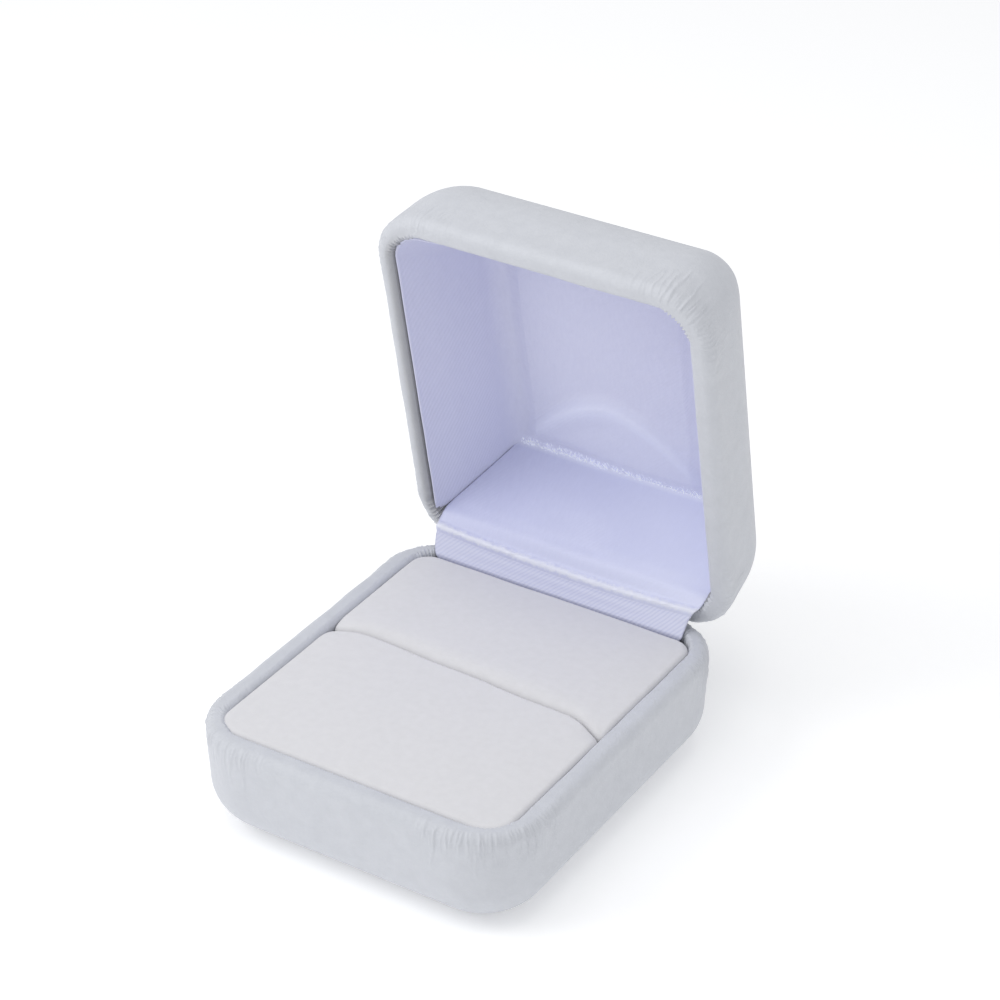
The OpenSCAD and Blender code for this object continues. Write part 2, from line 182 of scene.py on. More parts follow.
def add(tree, kind, links=(), **values):
    """A shader node with its inputs set or linked by name."""
    node = tree.nodes.new(kind)
    for key, value in values.items():
        if key in node.inputs:
            node.inputs[key].default_value = value
        else:
            setattr(node, key, value)
    for key, source in links:
        tree.links.new(source, node.inputs[key])
    return node


def place(tree, kind="Object"):
    return tree.nodes.new("ShaderNodeTexCoord").outputs[kind]


def put(node, **values):
    """Sets inputs; an underscore in a name stands for a space."""
    for key, value in values.items():
        node.inputs[key.replace("_", " ")].default_value = value


def noise(tree, coords, scale, detail=2.0, rough=0.5):
    node = add(tree, "ShaderNodeTexNoise", [("Vector", coords)],
               Scale=scale, Detail=detail, Roughness=rough)
    return node.outputs["Fac"]


def remap(tree, source, a, b, c, d):
    """The source's a..b stretched to c..d, and held there outside."""
    node = add(tree, "ShaderNodeMapRange", [("Value", source)])
    put(node, From_Min=a, From_Max=b, To_Min=c, To_Max=d)
    return node.outputs["Result"]


def maths(tree, operation, *values):
    """A Math node's result; each value is a socket or a number."""
    node = add(tree, "ShaderNodeMath", operation=operation)
    for socket, value in zip(node.inputs, values):
        if isinstance(value, bpy.types.NodeSocket):
            tree.links.new(value, socket)
        else:
            socket.default_value = value
    return node.outputs[0]


def attribute(tree, name):
    return add(tree, "ShaderNodeAttribute", attribute_name=name).outputs["Fac"]


def turned(tree, coords, degrees=0, scale=(1, 1, 1)):
    """Coordinates turned in their plane, and scaled."""
    node = add(tree, "ShaderNodeMapping", [("Vector", coords)])
    put(node, Rotation=(0, 0, math.radians(degrees)), Scale=scale)
    return node.outputs["Vector"]


def two_tone(tree, shader, fac, dark, light):
    """Colours the shader from dark to light by a factor, mostly near its middle."""
    ramp = add(tree, "ShaderNodeValToRGB", [("Fac", fac)])
    for element, position, tone in zip(ramp.color_ramp.elements, (0.3, 0.7), (dark, light)):
        element.position, element.color = position, (*tone, 1)
    tree.links.new(ramp.outputs["Color"], shader.inputs["Base Color"])


def blend_in(tree, shader, factor, tone):
    """Mixes a tone over the shader's colour by a factor socket."""
    under = shader.inputs["Base Color"].links[0].from_socket
    mix = add(tree, "ShaderNodeMix", data_type="RGBA")
    tree.links.new(factor, mix.inputs[0])
    tree.links.new(under, mix.inputs[6])
    mix.inputs[7].default_value = (*tone, 1)
    tree.links.new(mix.outputs[2], shader.inputs["Base Color"])


def glow(shader, tone, strength):
    put(shader, Emission_Color=(*tone, 1), Emission_Strength=strength)


def bump(tree, shader, heights):
    """Bump nodes in a chain: (height socket, strength, distance in metres)."""
    last = None
    for height, strength, distance in heights:
        node = add(tree, "ShaderNodeBump", [("Height", height)],
                   Strength=strength, Distance=distance)
        if last is not None:
            tree.links.new(last, node.inputs["Normal"])
        last = node.outputs["Normal"]
    tree.links.new(last, shader.inputs["Normal"])


# Colours are linear RGB; a pair is dark and light.
LEATHER_TONES = (0.585, 0.60, 0.64), (0.625, 0.64, 0.68)
RIM_PAINTED_SHADOW, RIM_PAINTED_SHADOW_MOST = (0.26, 0.255, 0.26), 0.62  # painted shadow inside the lid's left rim: its colour and its most
# the lid's turned-in hem: painted shade over all of it, and painted shadow deepening low in the
# open lid
HEM_PAINTED_SHADE_TONE, HEM_PAINTED_SHADOW, HEM_PAINTED_SHADOW_MOST = 0.72, (0.25, 0.25, 0.26), 0.6
HEM_PAINTED_SHADOW_LOW, HEM_PAINTED_SHADOW_HIGH = 0.030, 0.056  # heights in metres, with the lid open: the hem's painted shadow is fullest at the first and gone at the second
CUSHION_TONES = (0.70, 0.695, 0.71), (0.725, 0.72, 0.735)


def leatherette(name, tone=1.0):
    """Grained leatherette, with painted shadow where the mesh's rim shadow attribute is high."""
    m, tree, shader = node_material(name)
    coords = place(tree)
    dark, light = (np.array(c) * tone for c in LEATHER_TONES)
    two_tone(tree, shader, noise(tree, coords, 420, 4, 0.65), dark, light)
    rough = remap(tree, noise(tree, coords, 1500, 2), 0, 1, 0.5, 0.64)
    tree.links.new(rough, shader.inputs["Roughness"])
    # painted shadow inside the lid's left rim
    shade = attribute(tree, "rim_painted_shadow")
    blend_in(tree, shader, remap(tree, shade, 0, 1, 0, RIM_PAINTED_SHADOW_MOST), RIM_PAINTED_SHADOW)
    cells = add(tree, "ShaderNodeTexVoronoi", [("Vector", coords)], Scale=3600.0)
    bump(tree, shader, [
        (noise(tree, coords, 1700, 4, 0.6), 0.55, 0.00016),
        (cells.outputs["Distance"], 0.5, 0.00005),
    ])
    put(shader, Specular_IOR_Level=0.4, Sheen_Weight=0.08)
    return m


def painted_shadow_hem_leatherette():
    """The edge turned in under the rim, painted darker as shade, with the painted shadow deepest
    low in the open lid.
    """
    m = leatherette("leatherette_hem_painted_shadow", HEM_PAINTED_SHADE_TONE)
    tree = m.node_tree
    height = add(tree, "ShaderNodeSeparateXYZ", [("Vector", place(tree))]).outputs["Z"]
    # painted shadow, fullest low in the open lid and fading out higher up
    low = remap(tree, height, HEM_PAINTED_SHADOW_LOW, HEM_PAINTED_SHADOW_HIGH, HEM_PAINTED_SHADOW_MOST, 0.0)
    blend_in(tree, tree.nodes["Principled BSDF"], low, HEM_PAINTED_SHADOW)
    return m


def cushion_cloth():
    m, tree, shader = node_material("cushion_cloth")
    coords = place(tree)
    two_tone(tree, shader, noise(tree, coords, 900, 3), *CUSHION_TONES)
    put(shader, Roughness=0.9, Specular_IOR_Level=0.25, Sheen_Weight=0.25, Sheen_Roughness=0.6)
    bump(tree, shader, [
        (noise(tree, coords, 1100, 3), 0.2, 0.00008),
        (noise(tree, coords, 5200, 2, 0.7), 0.4, 0.00004),
    ])
    return m


TWILL_STEP = 0.5  # mm of cloth from one twill line to the next
FLAP_TWILL_STEP = 0.56
LINING_TWILL_TURN, FLAP_TWILL_TURN, STREAK_TURN = -45, -35, -32  # degrees
WAVE_UNIT = 2 * math.pi / 20  # the wave texture's scale for one band a unit
LINING_TONES = (0.64, 0.65, 0.835), (0.68, 0.69, 0.865)
FLAP_TONES = (0.59, 0.61, 0.82), (0.63, 0.65, 0.855)
# painted sheen and painted shade, laid over the satin by its light attribute
SATIN_PAINTED_SHEEN, SATIN_PAINTED_SHADE = (0.75, 0.775, 0.96), (0.49, 0.50, 0.67)
# painted sheen toward the flap's right
FLAP_PAINTED_SHEEN_RIGHT = (0.72, 0.745, 0.915)
# pale frayed threads at the cut edge, with painted light
CUT_EDGE_FRAY_AND_SHEEN = (0.86, 0.88, 0.97)
# the ribbed strip below the crease: its light painted as a greyer tone, painted shade in its
# grooves, and a painted highlight on the crease
RIB_PAINTED_LIGHT, GROOVE_PAINTED_SHADE, CREASE_PAINTED_HIGHLIGHT = (0.61, 0.62, 0.74), (0.50, 0.52, 0.71), (0.85, 0.86, 0.92)


def flap_marks(tree, shader, coords, wave, crease):
    """Painted light on a flap: a painted sheen toward its right, pale frayed threads with painted
    light at its cut edge, a painted highlight on its crease, and below it a ribbed strip with
    painted light, and painted shade in its grooves.
    """
    axes = add(tree, "ShaderNodeSeparateXYZ", [("Vector", coords)]).outputs
    under = remap(tree, axes["Y"], crease + 0.6, crease + 1.0, 0.0, 1.0)
    grooves = maths(tree, "MULTIPLY", under, wave)
    away = maths(tree, "ABSOLUTE", maths(tree, "SUBTRACT", axes["Y"], crease))
    uneven = remap(tree, noise(tree, coords, 1.4, 3, 0.7), 0.25, 0.75, -0.3, 0.3)
    ragged = maths(tree, "ADD", away, uneven)
    for factor, tone in (
        (remap(tree, axes["X"], -14, 19, 0.0, 0.75), FLAP_PAINTED_SHEEN_RIGHT),
        (remap(tree, axes["Y"], 0.4, 1.7, 0.9, 0.0), CUT_EDGE_FRAY_AND_SHEEN),
        (remap(tree, under, 0, 1, 0.0, 0.6), RIB_PAINTED_LIGHT),
        (remap(tree, grooves, 0.3, 1.0, 0.0, 0.6), GROOVE_PAINTED_SHADE),
        (remap(tree, ragged, 0.2, 0.65, 0.75, 0.0), CREASE_PAINTED_HIGHLIGHT),
    ):
        blend_in(tree, shader, factor, tone)


def satin_cloth(name, dark, light, twill_depth, twill_turn, twill_step, crease=None):
    """Satin: fine diagonal twill along the cloth's own UV, in mm.

    It has a painted sheen where the mesh's light attribute is above zero, and painted
    shade where it is below. A crease is given for the flap only, as the run from its cut edge.
    """
    m, tree, shader = node_material(name)
    coords = place(tree, "UV")
    twill = turned(tree, coords, twill_turn)
    wave = add(tree, "ShaderNodeTexWave", [("Vector", twill)],
               Scale=WAVE_UNIT / twill_step, Distortion=0.9, Detail=1.0).outputs["Fac"]
    streak = turned(tree, coords, STREAK_TURN, (1.6, 0.5, 1))
    two_tone(tree, shader, noise(tree, streak, 1.2, 4, 0.7), dark, light)
    painted_light = attribute(tree, "painted_light")
    # painted sheen where the attribute is above zero, painted shade where it is below
    blend_in(tree, shader, remap(tree, painted_light, 0, 1, 0, 0.8), SATIN_PAINTED_SHEEN)
    blend_in(tree, shader, remap(tree, painted_light, 0, -1, 0, 0.6), SATIN_PAINTED_SHADE)
    if crease is not None:
        flap_marks(tree, shader, coords, wave, crease)
    bump(tree, shader, [
        (wave, twill_depth, 0.00005),
        (noise(tree, coords, 3.0, 3, 0.7), 0.6 * twill_depth, 0.00005),
    ])
    put(shader, Roughness=0.38, Specular_IOR_Level=0.6, Sheen_Weight=0.15, Anisotropic=0.5)
    return m


def plain(name, dark, light, roughness, scale=900.0, grain=0.00002):
    m, tree, shader = node_material(name)
    fac = noise(tree, place(tree), scale, 3)
    two_tone(tree, shader, fac, dark, light)
    put(shader, Roughness=roughness)
    bump(tree, shader, [(fac, 0.3, grain)])
    return m


def brushed(name, dark, light):
    """Metal with fine lines along X."""
    m, tree, shader = node_material(name)
    fac = noise(tree, turned(tree, place(tree), 0, (0.06, 1, 1)), 6000, 2)
    two_tone(tree, shader, fac, dark, light)
    put(shader, Metallic=1.0, Roughness=0.32)
    bump(tree, shader, [(fac, 0.25, 0.00001)])
    return m


LEATHER = leatherette("leatherette")
# the lid's turned-in hem, painted darker as shade
HEM = painted_shadow_hem_leatherette()
CUSHION = cushion_cloth()
SATIN = satin_cloth("lining_satin", *LINING_TONES, 0.24, LINING_TWILL_TURN, TWILL_STEP)
THREAD = plain("satin_thread", (0.84, 0.87, 0.97), (0.93, 0.95, 1.0), 0.6)
# the loose threads glow a little: painted light standing in for light passing through them
glow(THREAD.node_tree.nodes["Principled BSDF"], (0.86, 0.89, 1.0), 0.3)
SHELL = plain("shell_plastic", (0.72, 0.72, 0.71), (0.76, 0.76, 0.75), 0.45)
CARD = plain("grey_card", (0.60, 0.57, 0.51), (0.70, 0.67, 0.60), 0.9, scale=1800.0, grain=0.00005)
STEEL = brushed("plated_steel", (0.62, 0.58, 0.48), (0.76, 0.71, 0.60))

# ---------------------------------------------------------------- lofts of rounded rectangles


class Perimeter:
    """Sampling round a rounded rectangle, starting in the middle of corner 0.

    Corner 0 is at +X +Y, and the corners run anticlockwise. Each quarter arc has
    2 * half_arc steps; the straight runs between have steps_x or steps_y steps, of
    which `dense` at each end share the fifth of the run that is next to the arc.
    """

    def __init__(self, half_arc, steps_x, steps_y, dense=0):
        corner, angle, frac = [], [], []

        def sample(k, degrees, along):
            corner.append(k % 4), angle.append(degrees), frac.append(along)

        for k in range(4):
            steps = steps_x if k % 2 == 0 else steps_y
            along = np.arange(steps) / steps
            if dense:
                marks = [0, dense, steps - dense, steps]
                along = np.interp(np.arange(steps), marks, [0, 0.2, 0.8, 1])
            for i in range(half_arc):
                sample(k, 90 * k + 45 + 45 * i / half_arc, 0.0)
            for i in range(steps):
                sample(k, 90 * (k + 1), along[i])
            for i in range(half_arc):
                sample(k + 1, 90 * (k + 1) + 45 * i / half_arc, 0.0)
        self.corner, self.angle = np.array(corner), np.radians(angle)
        self.frac = np.array(frac)
        self.side = [2 * half_arc + (steps_x if k % 2 == 0 else steps_y) for k in range(4)]
        self.n = len(corner)
        self.normal = np.stack([np.cos(self.angle), np.sin(self.angle)], axis=-1)

    def ring(self, half_w, y0, y1, front_r, back_r=None):
        """The ring's points [n, 2]."""
        back_r = front_r if back_r is None else back_r
        radius = np.array([back_r, back_r, front_r, front_r])
        cx = np.array([1, -1, -1, 1]) * (half_w - radius)
        cy = np.array([y1 - back_r, y1 - back_r, y0 + front_r, y0 + front_r])

        def at(k):
            return np.stack([cx[k], cy[k]], axis=-1) + radius[k][:, None] * self.normal

        here = at(self.corner)
        following = at((self.corner + 1) % 4)
        f = self.frac[:, None]
        return here * (1 - f) + following * f

    def length(self, points):
        """Distance run along a ring at each of its points."""
        steps = np.linalg.norm(np.roll(points, -1, axis=0) - points, axis=1)
        return np.concatenate([[0], np.cumsum(steps)[:-1]])


def coons(ring, side):
    """Fills a ring of points with a grid; ring corners lie at the sides' joins."""
    n, m = side[0], side[1]
    closed = np.concatenate([ring, ring[:1]])
    top = closed[: n + 1]
    left = closed[n : n + m + 1]
    bottom = closed[n + m : 2 * n + m + 1][::-1]
    right = closed[2 * n + m :][::-1]
    u = np.linspace(0, 1, n + 1)[None, :, None]
    v = np.linspace(0, 1, m + 1)[:, None, None]
    a = (1 - v) * top[None] + v * bottom[None]
    b = (1 - u) * right[:, None] + u * left[:, None]
    c = ((1 - u) * (1 - v) * top[0] + u * (1 - v) * top[-1]
         + (1 - u) * v * bottom[0] + u * v * bottom[-1])
    return a + b - c


def patch_faces(side, ring, inner_start, up=True):
    """Faces of a coons grid; ring numbers its border's points, which are in the mesh already."""
    n, m = side[0], side[1]
    index = np.zeros((m + 1, n + 1), int)
    index[0, :] = ring[: n + 1]
    index[:, n] = ring[n : n + m + 1]
    index[m, ::-1] = ring[n + m : 2 * n + m + 1]
    index[::-1, 0] = ring[(2 * n + m + np.arange(m + 1)) % len(ring)]
    index[1:m, 1:n] = inner_start + np.arange((m - 1) * (n - 1)).reshape(m - 1, n - 1)
    corners = [index[:-1, :-1], index[:-1, 1:], index[1:, 1:], index[1:, :-1]]
    f = np.stack(corners, axis=-1).reshape(-1, 4)
    return f if up else f[:, ::-1]


# ---------------------------------------------------------------- leatherette wraps

GATHER_STEP, GATHER_LONG = 0.50, 9.5
GATHER_PAST_ARC = 7.5  # how far the gathers reach along the straight sides
PLEAT_REACH, PLEAT_STEP, PLEAT_HALF_W = 6.0, 1.0, 0.30
LEAF_SEAT_IN, LEAF_SEAT_MOST = 2.4, 1.2

# Profiles are [inset, z] in cup coordinates: inset from the outline, z up from the
# cup's floor to its rim at h, and t inside the outer surface.


def wall_line(h, e_in, e_up, draft, t, steps):
    """The rounded edge between the floor and the wall."""
    a = np.linspace(0, math.pi / 2, steps)
    inset, z = e_in - (e_in - t) * np.sin(a), e_up - (e_up - t) * np.cos(a)
    return np.stack([inset + draft * (1 - z / h), z], axis=-1)


def straight_line(h, z0, z1, draft, t, steps):
    z = np.linspace(z0, z1, steps)
    return np.stack([t + draft * (1 - z / h), z], axis=-1)


def rim_line(h, draft, t, steps):
    """Over the rim from outside to inside."""
    a = np.linspace(0, math.pi / 2, steps)
    b = a[::-1]
    out_r, in_r = RIM_OUT_R - t, RIM_IN_R - t
    out = [RIM_OUT_R - out_r * np.cos(a), h - RIM_OUT_R + out_r * np.sin(a)]
    inside = [RIM_W - RIM_IN_R + in_r * np.cos(b), h - RIM_IN_R + in_r * np.sin(b)]
    line = np.concatenate([np.stack(out, axis=-1), np.stack(inside, axis=-1)])
    line[:, 0] += draft * (1 - line[:, 1] / h)
    return line


def profile_normals(line):
    """Normals [inset, z] of a profile that runs up outside and down inside."""
    d = np.gradient(line, axis=0)
    d /= np.maximum(np.linalg.norm(d, axis=1, keepdims=True), 1e-9)
    return np.stack([-d[:, 1], d[:, 0]], axis=-1)


def puckers(s, depth, corners, reach, seed, height):
    """Fine gathers across the corners, as heights over [profile, perimeter]."""
    rng = np.random.default_rng(seed)
    out = np.zeros((len(depth), len(s)))
    total = s[-1] + (s[1] - s[0])
    for centre in corners:
        at = -reach
        while at < reach:
            at += GATHER_STEP * rng.uniform(0.65, 1.5)
            edge = 1 - smooth(abs(at), 0.45 * reach, reach)
            if edge <= 0.02:
                continue
            amount = height * edge * rng.uniform(0.35, 1.0)
            width = GATHER_STEP * rng.uniform(0.18, 0.32)
            slant = rng.normal(0, 0.05) + 0.05 * at / reach
            wave, phase = rng.uniform(0.05, 0.16), rng.uniform(0, 6.28)
            length = GATHER_LONG * rng.uniform(0.4, 1.1) * (0.5 + 0.5 * edge)
            start = rng.uniform(-0.6, 1.0)
            middle = at + slant * depth + wave * np.sin(depth * 1.3 + phase)
            off = around(s[None, :] - centre - middle[:, None], total)
            near = np.abs(off) < 4 * width
            along = smooth(depth, start - 0.5, start + 0.6)
            along = along * (1 - smooth(depth, 0.35 * length, length))
            out += np.where(near, amount * along[:, None] * np.exp(-((off / width) ** 2)), 0)
    return out


def wrap_profiles(h, e_in, e_up, draft):
    """From the floor up, over the rim and down to the hem, and back under the cloth."""
    wall_steps = max(8, int((h - RIM_OUT_R - e_up) / 0.3))
    hem_z = h - RIM_OUT_R - TURN_IN
    outer = np.concatenate([
        wall_line(h, e_in, e_up, draft, 0, 22)[:-1],
        straight_line(h, e_up, h - RIM_OUT_R, draft, 0, wall_steps)[:-1],
        rim_line(h, draft, 0, 12),
        straight_line(h, h - RIM_IN_R, hem_z, draft, RIM_W, 16)[1:],
    ])
    back = np.concatenate([
        straight_line(h, hem_z, h - RIM_IN_R, draft, RIM_W - WRAP_T, 4),
        rim_line(h, draft, WRAP_T, 5)[::-1],
        wall_line(h, e_in, e_up, draft, WRAP_T, 9)[::-1],
    ])
    return outer, back


def wrap_relief(s, past_crest, corners, reach, seed, gather, pleat):
    """How far the covering stands out, over [profile, perimeter]."""
    down = -past_crest
    lift = puckers(s, down, corners, reach, seed, gather)
    # fine crinkle, strongest near the corners and the rim
    grain = 0.035 * value_noise(s[None, :], down[:, None] * 0.3, seed + 1, 0.5)
    grain += 0.03 * value_noise(s[None, :], down[:, None] * 0.8, seed + 2, 0.8)
    by_corner = [1 - smooth(np.abs(around(s - c, s[-1])), 0.5 * reach, reach) for c in corners]
    share = 0.35 + 0.65 * np.max(by_corner, axis=0)
    lift += grain * share[None, :] * (1 - smooth(down, 2.5, 9))[:, None]
    # pleats inside the rim, where the covering is gathered round the corners
    rng = np.random.default_rng(seed + 7)
    past_rim = smooth(past_crest, 0.0, 1.2)[:, None]
    for c in corners:
        for at in np.arange(-PLEAT_REACH, PLEAT_REACH + 0.1, PLEAT_STEP):
            at = at + rng.uniform(-0.25, 0.25)
            amount = pleat * rng.uniform(0.5, 1.0) * (1 - smooth(abs(at), 3.6, 6.2))
            off = around(s - c - at, s[-1])
            lift += amount * past_rim * np.exp(-((off / PLEAT_HALF_W) ** 2))[None, :]
    # slow unevenness of the rolled rim
    slow = 0.05 * value_noise(s[None, :], past_crest[:, None] * 0.2, seed + 3, 5.0)
    lift += slow * (1 - smooth(np.abs(past_crest - 0.5), 1.5, 5.0))[:, None]
    return lift


def cut_hinge_slot(points, h, inner_rows):
    """The hinge's slot in the back rim, and its leaf's seat inside the wall."""
    x, y = points[..., 0], points[..., 1]
    rear = smooth(y, HALF_D - 6.5, HALF_D - 5.5)
    slot = (1 - smooth(np.abs(x), NOTCH_HALF_W - 0.1, NOTCH_HALF_W + 0.5)) * rear
    points[..., 2] = np.minimum(points[..., 2], h - NOTCH_D * slot)
    seat = slot * inner_rows[:, None]
    room = np.clip(HALF_D - LEAF_SEAT_IN - y, 0, LEAF_SEAT_MOST)
    points[..., 1] = np.where(seat > 0, y + seat * room, y)


def wrap_mesh(h, e_in, e_up, draft, corner_r, inner_r, seed, gather, pleat, left_in):
    """A rolled-rim leatherette cover in cup coordinates.

    The left side inside the rim is set out by left_in. Returns points, faces, which
    faces are the hem, and each point's painted shadow on the left inside the rim.
    """
    per = Perimeter(56, 136, 148, dense=46)
    outer, back = wrap_profiles(h, e_in, e_up, draft)
    normals = profile_normals(outer)
    run = run_along(outer)
    crest = int(np.argmax(outer[:, 1]))
    past_crest = run - run[crest]

    def ring_at(inset, inside=False):
        r = max(corner_r - inset, END_CORNER_R)
        if inside:
            r += (inner_r - r) * np.clip((inset - RIM_OUT_R) / (RIM_W - RIM_OUT_R), 0, 1)
        return per.ring(HALF_W - inset, inset - HALF_D, HALF_D - inset, r)

    s = per.length(ring_at(0.0))
    corners = s[np.cumsum([0] + per.side[:3])]
    reach = 0.5 * math.pi / 2 * corner_r + GATHER_PAST_ARC
    lift = wrap_relief(s, past_crest, corners, reach, seed, gather, pleat)
    to_left = np.clip(-per.normal[:, 0], 0, 1)
    rows = []
    for (inset, z), (n_in, n_z), d, past in zip(outer, normals, lift, past_crest):
        xy = ring_at(inset, past > 0) - per.normal * (n_in * d)[:, None]
        xy[:, 0] -= left_in * smooth(past, 0, 0.9) * to_left
        rows.append(np.column_stack([xy, z + n_z * d]))
    for inset, z in back:
        rows.append(np.column_stack([ring_at(inset), np.full(per.n, z)]))
    points = np.array(rows)
    inner_rows = np.zeros(len(points), bool)
    inner_rows[crest + 6 : len(outer)] = True
    cut_hinge_slot(points, h, inner_rows)

    flat = points.reshape(-1, 3)
    floor_out = coons(points[0], per.side)[1:-1, 1:-1].reshape(-1, 3)
    floor_in = coons(points[-1], per.side)[1:-1, 1:-1].reshape(-1, 3)
    first = np.arange(per.n)
    last = (len(points) - 1) * per.n + first
    faces = np.concatenate([
        grid_faces(len(points), per.n, closed=True),
        patch_faces(per.side, first, len(flat), up=False),
        patch_faces(per.side, last, len(flat) + len(floor_out), up=True),
    ])
    everything = np.concatenate([flat, floor_out, floor_in])
    on_outer = len(outer) * per.n
    depth_in, shade = np.zeros(len(everything)), np.zeros(len(everything))
    depth_in[:on_outer] = np.repeat(past_crest, per.n)
    # painted shadow on the left side, from just before the rim's crest inward
    shade[:on_outer] = (smooth(past_crest, -0.9, 2.0)[:, None] * to_left[None, :] ** 2).ravel()
    return everything, faces, depth_in[faces[:, 0]] > HEM_START, shade


pts, faces, hem, shade = wrap_mesh(
    BASE_H, BASE_EDGE_IN, BASE_EDGE_UP, BASE_DRAFT, BASE_CORNER_R,
    inner_r=5.0, seed=11, gather=0.18, pleat=0.2, left_in=0.0)
base_cover = new_mesh("base_leatherette", pts, faces, LEATHER)
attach(base_cover, "base")
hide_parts("base_wrap")

pts, faces, hem, shade = wrap_mesh(
    LID_H, LID_EDGE_IN, LID_EDGE_UP, LID_DRAFT, LID_CORNER_R,
    inner_r=4.6, seed=23, gather=0.12, pleat=0.4, left_in=0.45)
pts[:, 2] = LID_TOP_Z - pts[:, 2]
lid_cover = new_mesh("lid_leatherette", to_open(pts), faces[:, ::-1], LEATHER)
# the hem faces take the leatherette painted darker as shade
lid_cover.data.materials.append(HEM)
# the painted shadow inside the lid's left rim
set_attribute(lid_cover, "rim_painted_shadow", shade)
lid_cover.data.polygons.foreach_set("material_index", hem.astype(np.int32))
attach(lid_cover, "lid")
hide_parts("lid_wrap")

# ---------------------------------------------------------------- cushion pads

PAD_IN = RIM_W + 0.08
PAD_FOOT_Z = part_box("front_pad_cover")[0].z / MM
PAD_TOP = BASE_H - 0.15
PAD_ROLL = 0.75
FRONT_CROWN, REAR_CROWN = 0.45, 0.62
PAD_FRONT_R, PAD_BACK_R, PAD_SLOT_R = 3.7, 2.8, 1.1  # corners seen from above
PAD_HALF_W = 23.0
PAD_PRESSURE = 6.0
SLOT_Y, SLOT_HALF = 1.75, 0.1
REAR_PAD_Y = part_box("rear_pad_cover")[1].y / MM - 0.05
CLOTH_SCALE = 20.0


def slot_line(x):
    """Where the two pads meet: level in the middle, drawn forward at the ends."""
    return (SLOT_Y - 0.045 * x + 0.10 * np.sin(x * 0.42 + 0.8)
            - 1.7 * smooth(x, 16.5, 23.2) - 1.1 * smooth(-x, 16.5, 23.2))


def inflate(points, faces, pinned, frames=14):
    """Runs a pinned cloth under pressure, at a larger scale, and returns its points."""
    big = bpy.data.meshes.new("cloth")
    big.from_pydata((points * MM * CLOTH_SCALE).tolist(), [], [list(map(int, f)) for f in faces])
    obj = bpy.data.objects.new("cloth", big)
    bpy.context.scene.collection.objects.link(obj)
    group = obj.vertex_groups.new(name="pin")
    group.add([int(i) for i in np.nonzero(pinned)[0]], 1.0, "REPLACE")
    cloth = obj.modifiers.new("cloth", "CLOTH")
    settings = cloth.settings
    settings.vertex_group_mass = "pin"
    settings.quality = 6
    settings.mass = 0.15
    settings.tension_stiffness = settings.compression_stiffness = 12
    settings.shear_stiffness = 6
    settings.bending_stiffness = 0.6
    settings.use_pressure = True
    settings.uniform_pressure_force = PAD_PRESSURE
    settings.effector_weights.gravity = 0
    cloth.collision_settings.use_self_collision = False
    cloth.collision_settings.use_collision = False
    scene = bpy.context.scene
    for f in range(1, frames + 1):
        scene.frame_set(f)
    done = obj.evaluated_get(bpy.context.evaluated_depsgraph_get()).to_mesh()
    co = np.zeros(len(done.vertices) * 3)
    done.vertices.foreach_get("co", co)
    scene.frame_set(1)
    bpy.data.objects.remove(obj)
    bpy.data.meshes.remove(big)
    return co.reshape(-1, 3) / (MM * CLOTH_SCALE)


def pad_profile():
    """[inset, z] from the pad's foot up its wall and over the roll of its edge."""
    wall = wall_line(BASE_H, BASE_EDGE_IN, BASE_EDGE_UP, BASE_DRAFT, PAD_IN, 10)
    wall = wall[wall[:, 1] > PAD_FOOT_Z + 0.4]
    foot = [[wall[0, 0] + 0.3, PAD_FOOT_Z]]
    side = straight_line(BASE_H, BASE_EDGE_UP, PAD_TOP - PAD_ROLL, BASE_DRAFT, PAD_IN, 8)[1:]
    a = np.linspace(0, math.pi / 2, 8)[1:]
    roll = [side[-1, 0] + PAD_ROLL * (1 - np.cos(a)), PAD_TOP - PAD_ROLL + PAD_ROLL * np.sin(a)]
    profile = np.concatenate([foot, wall, side, np.stack(roll, axis=-1)])
    rolled = np.zeros(len(profile))
    rolled[-len(a) :] = np.maximum(0.0, profile[-len(a) :, 0] - side[-1, 0])
    return profile, rolled


